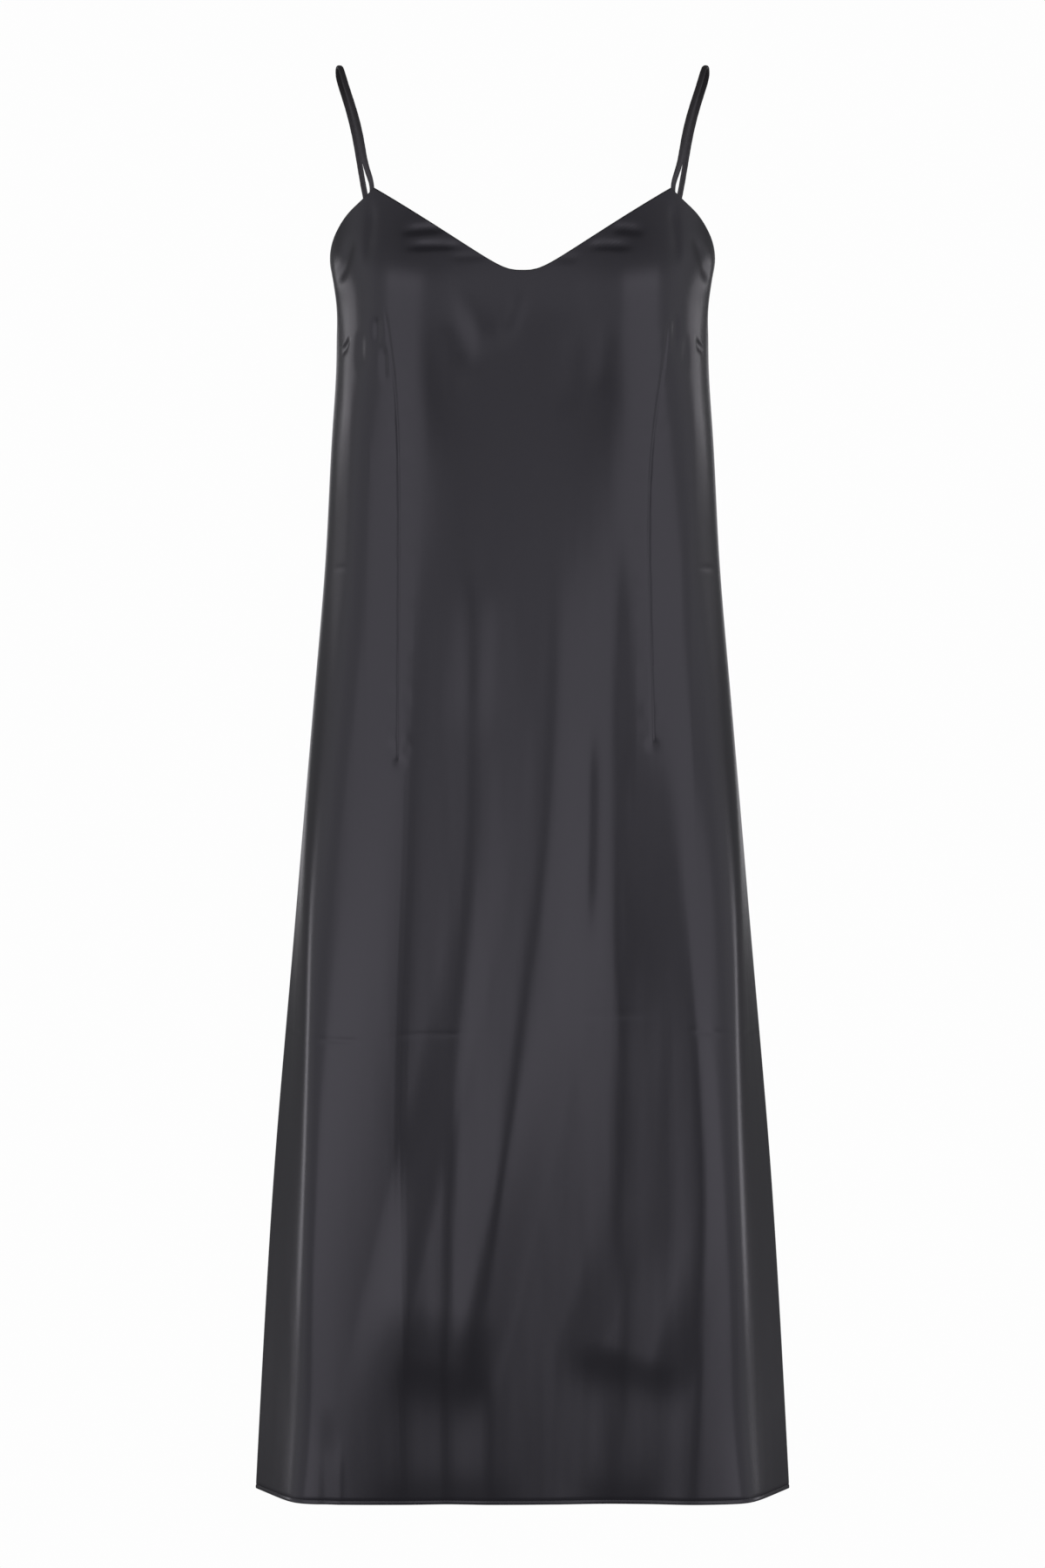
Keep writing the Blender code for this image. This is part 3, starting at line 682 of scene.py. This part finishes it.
def edge_rise(share, height, top, half_length):
    """Rolled edges: the cloth drops away over the last roll of the turned top edges, by a
    square, and of the side seams, by a bell.  It swells a little into the hem's roll, by
    half a circle, and sinks along the stitches, by a bell."""
    from_top = (top - height) / EDGE_ROLL
    from_seam = (1 - share) * half_length / SEAM_ROLL
    from_hem = (height - HEM_HEIGHT) / HEM_ROLL
    rise = -EDGE_DROP * np.clip(1 - from_top, 0, 1) ** 2
    rise -= SEAM_DROP * np.exp(-from_seam ** 2)
    rise += HEM_SWELL * np.sqrt(np.clip(1 - (2 * from_hem - 1) ** 2, 0, 1))
    return rise - HEM_GROOVE * np.exp(-((from_hem - 1) / HEM_GROOVE_SHARE) ** 2)


def panel_arrays(panel, lines, shape, detail):
    """Outer face of a panel as a grid of points, with the directions in which it faces
    out and its flat coordinates, from the left seam to the right one."""
    halves = []
    for side in (-1, 1):
        shares, heights = cloth_grid(panel, side, lines[side], shape)
        top = heights[-1]
        _, along, seam = section_arcs(heights)
        half_length = seam if panel == "front" else along[..., -1] - seam

        def rise_of(x, y, height):
            """How far the face stands out in all: main forms, detail and edges."""
            edges = edge_rise(shares, height, top, half_length)
            return shape(x, y, height) + detail(x, height) + edges

        place, facing = cloth_place(panel, side, shares, heights, rise_of)
        flat = np.stack([side * shares * half_length, heights], -1)
        halves.append((place, facing, flat))
    return [np.concatenate([left[:, :0:-1], right], 1) for left, right in zip(*halves)]


def grid_faces(rows, columns, first=0):
    """Faces of a grid numbered row by row from first, as an array of corners."""
    corner = first + np.arange(rows - 1)[:, None] * columns + np.arange(columns - 1)
    corner = corner.ravel()
    return np.stack([corner, corner + 1, corner + columns + 1, corner + columns], 1)


CLOTH_SHARP = np.radians(50)


def lay_flat(mesh, flat_points):
    """Give every corner of the mesh its point's flat coordinates, as the UV map cloth."""
    corners = np.empty(len(mesh.loops), np.int32)
    mesh.loops.foreach_get("vertex_index", corners)
    mesh.uv_layers.new(name="cloth").data.foreach_set("uv", flat_points[corners].ravel())


def smooth_mesh(name, points, faces):
    """Mesh of the points and faces, shaded smooth."""
    mesh = bpy.data.meshes.new(name)
    mesh.from_pydata(points.reshape(-1, 3).tolist(), [], faces)
    mesh.shade_smooth()
    return mesh


def cloth_mesh(name, outer, facing, flat):
    """Closed shell: the fine outer face, a coarser inner face one cloth's thickness in,
    through every second column and fourth row, and a rim of faces that each join one
    inner edge to the outer edges beside it."""
    rows, columns = outer.shape[:2]
    inner = (outer - CLOTH_THICKNESS * facing)[::INNER_ROW_STEP, ::INNER_COLUMN_STEP]
    inner_flat = flat[::INNER_ROW_STEP, ::INNER_COLUMN_STEP]
    inner_rows, inner_columns = inner.shape[:2]
    count = rows * columns
    faces = grid_faces(rows, columns).tolist()
    faces += grid_faces(inner_rows, inner_columns, count)[:, ::-1].tolist()
    outer_index = np.arange(count).reshape(rows, columns)
    inner_index = count + np.arange(inner_rows * inner_columns).reshape(inner_rows, inner_columns)
    sides = (
        (outer_index[0], inner_index[0], INNER_COLUMN_STEP, 1),
        (outer_index[:, -1], inner_index[:, -1], INNER_ROW_STEP, 1),
        (outer_index[-1], inner_index[-1], INNER_COLUMN_STEP, -1),
        (outer_index[:, 0], inner_index[:, 0], INNER_ROW_STEP, -1),
    )
    for edge, inside, step, way in sides:
        start = np.arange(len(inside) - 1)[:, None]
        along_edge = edge[start * step + np.arange(step, -1, -1)]
        ring = np.concatenate([along_edge, inside[start], inside[start + 1]], 1)
        faces += ring[:, ::way].tolist()
    points = np.concatenate([outer.reshape(-1, 3), inner.reshape(-1, 3)])
    mesh = smooth_mesh(name, points, faces)
    mesh.set_sharp_from_angle(angle=CLOTH_SHARP)
    lay_flat(mesh, np.concatenate([flat.reshape(-1, 2), inner_flat.reshape(-1, 2)]))
    return mesh


def add_piece(name, mesh, material, slot, *nodes):
    """Put a mesh into the scene as a piece that rides on the dress."""
    mesh.materials.append(material)
    piece = bpy.data.objects.new(name, mesh)
    bpy.context.scene.collection.objects.link(piece)
    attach(piece, "root")
    if nodes:
        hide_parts(*nodes)
    return piece


# Satin: long floats of filament lie side by side down the cloth, so the surface is
# smooth and bright, with a faint unevenness from yarn to yarn.
SATIN = (0.0190, 0.0183, 0.0218, 1.0)
SATIN_ROUGHNESS = 0.24
SATIN_SHINE = (0.93, 0.90, 1.0, 1.0)
SATIN_SPECULAR = 0.565
YARN_STRETCHES = ((2600.0, 60.0, 1.0), (70.0, 2200.0, 1.0))
YARN_DETAIL = 2.0
YARN_SHADES = (0.88, 1.12)
YARN_BUMP = 0.000016
WAVE_STRETCH = (48.0, 6.5, 1.0)
WAVE_DETAIL = 1.0
WAVE_BUMP = 0.00028

satin_group = bpy.data.node_groups.new("satin_yarns", "ShaderNodeTree")
for socket_name, kind in (("Colour", "NodeSocketColor"), ("Roughness", "NodeSocketFloat"),
                          ("Bump", "NodeSocketFloat")):
    satin_group.interface.new_socket(socket_name, in_out="INPUT", socket_type=kind)
for socket_name, kind in (("Colour", "NodeSocketColor"), ("Roughness", "NodeSocketFloat"),
                          ("Normal", "NodeSocketVector")):
    satin_group.interface.new_socket(socket_name, in_out="OUTPUT", socket_type=kind)


def stretched_noise(tree, flat, stretch, detail):
    """Noise over the flat cloth, as many grains a metre as stretch says each way."""
    spread = tree.nodes.new("ShaderNodeMapping")
    spread.inputs["Scale"].default_value = stretch
    noise = tree.nodes.new("ShaderNodeTexNoise")
    noise.inputs["Scale"].default_value = 1.0
    noise.inputs["Detail"].default_value = detail
    tree.links.new(flat, spread.inputs["Vector"])
    tree.links.new(spread.outputs["Vector"], noise.inputs["Vector"])
    return noise.outputs["Fac"]


def build_yarns(group):
    """Noise drawn out along the yarns, once down and once across the cloth, which shades
    the colour, the roughness and the height by a few parts in a hundred, over a second,
    much broader noise drawn out down the cloth, which only makes it slightly wavy."""
    nodes, links = group.nodes, group.links
    given = nodes.new("NodeGroupInput")
    put = nodes.new("NodeGroupOutput")
    uv_map = nodes.new("ShaderNodeUVMap")
    uv_map.uv_map = "cloth"
    flat = uv_map.outputs["UV"]
    yarns = [stretched_noise(group, flat, stretch, YARN_DETAIL) for stretch in YARN_STRETCHES]
    both = worked_out(group, "ADD", *yarns)
    wave = nodes.new("ShaderNodeBump")
    wave.inputs["Distance"].default_value = WAVE_BUMP
    links.new(stretched_noise(group, flat, WAVE_STRETCH, WAVE_DETAIL), wave.inputs["Height"])
    bump = nodes.new("ShaderNodeBump")
    links.new(given.outputs["Bump"], bump.inputs["Distance"])
    links.new(both, bump.inputs["Height"])
    links.new(wave.outputs["Normal"], bump.inputs["Normal"])
    links.new(bump.outputs["Normal"], put.inputs["Normal"])
    shade = nodes.new("ShaderNodeMapRange")
    shade.inputs["From Max"].default_value = len(YARN_STRETCHES)
    shade.inputs["To Min"].default_value = YARN_SHADES[0]
    shade.inputs["To Max"].default_value = YARN_SHADES[1]
    links.new(both, shade.inputs["Value"])
    colour = nodes.new("ShaderNodeVectorMath")
    colour.operation = "SCALE"
    links.new(given.outputs["Colour"], colour.inputs[0])
    links.new(shade.outputs["Result"], colour.inputs["Scale"])
    links.new(colour.outputs["Vector"], put.inputs["Colour"])
    rough = worked_out(group, "MULTIPLY", given.outputs["Roughness"], shade.outputs["Result"])
    links.new(rough, put.inputs["Roughness"])


build_yarns(satin_group)


def satin_material(name, colour, roughness, bump):
    """Satin of one colour, through the yarns."""
    material = bpy.data.materials.new(name)
    material.use_nodes = True
    tree = material.node_tree
    shader = tree.nodes["Principled BSDF"]
    yarns = tree.nodes.new("ShaderNodeGroup")
    yarns.node_tree = satin_group
    yarns.inputs["Colour"].default_value = colour
    yarns.inputs["Roughness"].default_value = roughness
    yarns.inputs["Bump"].default_value = bump
    tree.links.new(yarns.outputs["Colour"], shader.inputs["Base Color"])
    tree.links.new(yarns.outputs["Roughness"], shader.inputs["Roughness"])
    tree.links.new(yarns.outputs["Normal"], shader.inputs["Normal"])
    shader.inputs["Specular IOR Level"].default_value = SATIN_SPECULAR
    shader.inputs["Specular Tint"].default_value = SATIN_SHINE
    return material


def front_detail(x, height):
    """Creases and darts of the front."""
    fine = crease_rise(FRONT_CREASES, x, height) + crease_rise(SIDE_DARTS, x, height)
    return fine + dart_rise(x, height)


satin = satin_material("charcoal_satin", SATIN, SATIN_ROUGHNESS, YARN_BUMP)
front_arrays = panel_arrays("front", DART_LINE, front_shape, front_detail)
front_cloth = add_piece("front_cloth", cloth_mesh("front_cloth", *front_arrays),
                        satin, "satin", "front_panel")


# ---------------------------------------------------------------------------------
# Back panel.  One plain piece of the same satin, cut straight across below the
# shoulder blades, which falls in a few deeper folds.
BACK_CREASES = (
    (-0.1000, -0.2200, -0.0500, -0.2080, 0.002, 0.0030, 0.0044, -0.0009),
    (0.1020, -0.2160, 0.0560, -0.2060, 0.002, 0.0044, 0.0030, -0.0008),
    (-0.1480, -0.2500, -0.0950, -0.3100, 0.004, 0.0060, 0.0080, -0.0012),
    (0.1460, -0.2600, 0.0900, -0.3300, 0.004, 0.0080, 0.0060, -0.0011),
    (-0.0100, -0.2300, -0.0300, -0.3600, 0.002, 0.0100, 0.0120, -0.0012),
    (-0.1200, -0.3900, -0.0400, -0.4100, 0.003, 0.0060, 0.0090, -0.0012),
    (0.1150, -0.3800, 0.0300, -0.4050, 0.003, 0.0090, 0.0060, -0.0013),
    (-0.1980, -0.7990, -0.1500, -0.8030, 0.000, 0.0022, 0.0022, -0.0004),
    (-0.1100, -0.8010, -0.0200, -0.8000, 0.001, 0.0020, 0.0020, -0.0003),
    (0.0300, -0.7990, 0.1200, -0.8020, 0.001, 0.0020, 0.0020, -0.0003),
    (0.1500, -0.8020, 0.1980, -0.7990, 0.000, 0.0022, 0.0022, -0.0004),
    (-0.1700, -1.0900, -0.0300, -1.1140, 0.004, 0.0900, 0.0400, 0.0018),
    (0.0200, -1.1200, 0.1650, -1.0800, 0.003, 0.0900, 0.0400, 0.0024),
)
# The line that one column of the cloth follows on either side, by heights.
BACK_COLUMN = ((-0.170, 0.1174), (-0.260, 0.1100), (-0.400, 0.1040), (-0.700, 0.1060),
               (-1.183, 0.1150))
BACK_LINE = {side: [(height, side * x) for height, x in BACK_COLUMN] for side in (-1, 1)}


def back_shape(x, y, height):
    """How far the back stands out where only its main forms count."""
    return fall_rise("back", x, height) + tuck_rise(y, height)


def back_detail(x, height):
    """Creases of the back."""
    return crease_rise(BACK_CREASES, x, height)


back_arrays = [array[:, ::-1] for array in panel_arrays("back", BACK_LINE, back_shape, back_detail)]
back_cloth = add_piece("back_cloth", cloth_mesh("back_cloth", *back_arrays),
                       satin, "satin", "back_panel")


# ---------------------------------------------------------------------------------
# Straps.  Each is a rouleau, a bias tube of satin turned right side out and pressed to
# a flat oval, whose ends are sewn to the inside of the panels at their peaks.
STRAP_WIDTH = 0.0048
STRAP_THICKNESS = 0.0024
STRAP_FOOT_LENGTH = 0.010
STRAP_FOOT_GAP = 0.00045
STRAP_FOOT_STEPS = 240
PANEL_WALL = 0.0014
STRAP_FOOT_X = {"front": 0.1256, "back": 0.1174}
SHOULDER_RADIUS = 0.045
STRAP_ROUTE_COLUMNS = ("x", "y", "z", "outward")
STRAP_ROUTE = (
    (0.1276, -0.0598, -0.0920, 0.40),
    (0.1321, -0.0552, -0.0700, 0.30),
    (0.1384, -0.0440, -0.0430, 0.10),
    (0.1467, -0.0280, -0.0160, 0.00),
    (0.1530, 0.0000, 0.0012, 0.00),
    (0.1540, 0.0150, -0.0040, 0.00),
    (0.1514, 0.0270, -0.0140, 0.00),
    (0.1460, 0.0370, -0.0315, 0.05),
    (0.1408, 0.0450, -0.0540, 0.15),
    (0.1304, 0.0565, -0.1100, 0.40),
)
STRAP_STATIONS = 220
STRAP_SIDES = 28
STRAP_ROUND = 0.012
STRAP_SHARP = np.radians(60)
STRAP_SEAM_DEPTH = 0.00022
STRAP_SEAM_TURN = 0.50
STRAP_SEAM_SPREAD = 0.18
STRAP_RIPPLE = 0.00006
STRAP_RIPPLE_WAVES = (900.0, 377.0)
STRAP_RIPPLE_SHIFT = 2.0


def unit(vectors):
    """The vectors' directions, each of length 1."""
    return vectors / np.linalg.norm(vectors, axis=1, keepdims=True)


def strap_foot(panel, shape):
    """Two points of a strap's end inside a panel, its lower end and the place where it
    passes the edge, with the directions in which the cloth faces out there."""
    x = STRAP_FOOT_X[panel]
    inward = PANEL_WALL + STRAP_FOOT_GAP + STRAP_THICKNESS / 2
    edge = neck_height(panel, x)
    heights = np.array([edge - STRAP_FOOT_LENGTH, edge])
    fine = np.linspace(0, 1, STRAP_FOOT_STEPS)
    shares = []
    for height in heights:
        place, _ = cloth_place(panel, 1, fine, np.full(STRAP_FOOT_STEPS, height), shape)
        shares.append(np.interp(x, place[:, 0], fine))
    face, out = cloth_place(panel, 1, np.array(shares), heights, shape)
    return face - inward * out, out


def strap_path():
    """Middle line of the right strap as even points of a spline from its front foot over
    the shoulder to its back foot, with the direction in which its flat side faces."""
    front, front_out = strap_foot("front", front_shape)
    back, back_out = strap_foot("back", back_shape)
    route = np.array(STRAP_ROUTE)
    outward = SHOULDER_RADIUS * route[:, STRAP_ROUTE_COLUMNS.index("outward")]
    away = unit(np.stack([outward, route[:, 1], np.full(len(route), SHOULDER_RADIUS)], 1))
    places = np.concatenate([front, route[:, :3], back[::-1]])
    facing = np.concatenate([front_out, away, back_out[::-1]])
    chords = np.linalg.norm(np.diff(places, axis=0), axis=1)
    knots = np.concatenate([[0], chords.cumsum()])
    stations = np.linspace(0, knots[-1], STRAP_STATIONS)
    return spline(stations, knots, places), spline(stations, knots, facing), stations


def tube_faces(tubes, rings, sides):
    """Faces of closed tubes of so many rings of points each, the caps after the walls."""
    here = np.arange(sides)
    after = (here + 1) % sides
    first = (np.arange(tubes) * rings * sides)[:, None]
    ring = (first + np.arange(rings - 1) * sides)[..., None]
    walls = np.stack([ring + here, ring + after, ring + sides + after, ring + sides + here], -1)
    foot = first + here[::-1]
    head = first + (rings - 1) * sides + here
    return walls.reshape(-1, 4).tolist() + foot.tolist() + head.tolist()


def strap_mesh(name, side):
    """A flat oval carried along the path: half its width times the cosine of the turn
    across, half its thickness times the sine out, drawn in along one edge where the
    tube's seam runs and a little uneven along its length."""
    path, facing, stations = strap_path()
    along = np.gradient(path, axis=0)
    across = unit(np.cross(facing, along))
    out = unit(np.cross(along, across))
    turn = np.linspace(0, 2 * np.pi, STRAP_SIDES, endpoint=False)
    seam = STRAP_SEAM_DEPTH * np.exp(-((turn - STRAP_SEAM_TURN) / STRAP_SEAM_SPREAD) ** 2)
    quick, slow = STRAP_RIPPLE_WAVES
    ripple = np.sin(stations * quick + side) * np.sin(stations * slow + STRAP_RIPPLE_SHIFT)
    uneven = STRAP_RIPPLE * ripple
    wide = (STRAP_WIDTH / 2 - seam)[None, :] + uneven[:, None]
    deep = (STRAP_THICKNESS / 2 - seam)[None, :] - uneven[:, None]
    oval = ((np.cos(turn) * wide)[..., None] * across[:, None]
            + (np.sin(turn) * deep)[..., None] * out[:, None])
    points = (path[:, None] + oval) * np.array([side, 1.0, 1.0])
    faces = tube_faces(1, STRAP_STATIONS, STRAP_SIDES)
    if side < 0:
        faces = [face[::-1] for face in faces]
    mesh = smooth_mesh(name, points, faces)
    mesh.set_sharp_from_angle(angle=STRAP_SHARP)
    around = turn / (2 * np.pi) * STRAP_ROUND
    flat = np.stack(np.broadcast_arrays(around, stations[:, None]), -1)
    lay_flat(mesh, flat.reshape(-1, 2))
    return mesh


STRAP_SATIN = (0.0300, 0.0280, 0.0290, 1.0)
STRAP_ROUGHNESS = 0.42
strap_satin = satin_material("strap_satin", STRAP_SATIN, STRAP_ROUGHNESS, YARN_BUMP)
for strap_name, strap_side in (("strap_right", 1), ("strap_left", -1)):
    add_piece(strap_name + "_rouleau", strap_mesh(strap_name + "_rouleau", strap_side),
              strap_satin, "strap_satin", strap_name)


# ---------------------------------------------------------------------------------
# Hem stitches.  A single row of machine stitches holds the hem's roll, each a short
# float of thread that sinks into the cloth at both ends.
STITCH_PITCH = 0.0026
STITCH_LENGTH = 0.0019
STITCH_RADIUS = 0.00020
STITCH_HEIGHT = 0.0030
STITCH_LIFT = 0.4
STITCH_TIP = 0.02
STITCH_RINGS = 5
STITCH_SIDES = 6
THREAD = (0.055, 0.054, 0.060, 1.0)
THREAD_ROUGHNESS = 0.5


def stitch_mesh(name, outer, facing, flat):
    """Spindles laid end to end along the hem: each is a circle carried along its length,
    whose radius goes as the square root of the sine from end to end.  They stand a part
    of their radius, the lift, proud of the cloth."""
    row = int(np.argmin(np.abs(flat[:, 0, 1] - (HEM_HEIGHT + STITCH_HEIGHT))))
    line, out = outer[row], facing[row]
    lengths = np.concatenate([[0], np.linalg.norm(np.diff(line, axis=0), axis=1).cumsum()])
    starts = np.arange(STITCH_PITCH, lengths[-1] - STITCH_PITCH, STITCH_PITCH)
    step = np.linspace(0, 1, STITCH_RINGS)
    at = starts[:, None] + step * STITCH_LENGTH
    middle = np.stack([np.interp(at, lengths, line[:, k]) for k in range(3)], -1)
    away = np.stack([np.interp(at, lengths, out[:, k]) for k in range(3)], -1)
    middle = middle + away * (STITCH_RADIUS * STITCH_LIFT)
    up = np.array([0.0, 0.0, 1.0])
    radius = STITCH_RADIUS * np.sqrt(np.sin(np.pi * np.clip(step, STITCH_TIP, 1 - STITCH_TIP)))
    turn = np.linspace(0, 2 * np.pi, STITCH_SIDES, endpoint=False)
    ring = np.cos(turn)[:, None] * away[..., None, :] + np.sin(turn)[:, None] * up
    points = middle[..., None, :] + radius[:, None, None] * ring
    return smooth_mesh(name, points, tube_faces(len(starts), STITCH_RINGS, STITCH_SIDES))


thread = bpy.data.materials.new("hem_thread")
thread.use_nodes = True
thread_shader = thread.node_tree.nodes["Principled BSDF"]
thread_shader.inputs["Base Color"].default_value = THREAD
thread_shader.inputs["Roughness"].default_value = THREAD_ROUGHNESS
for panel_name, arrays in (("front", front_arrays), ("back", back_arrays)):
    add_piece(panel_name + "_hem_stitches", stitch_mesh(panel_name + "_hem_stitches", *arrays),
              thread, "satin")
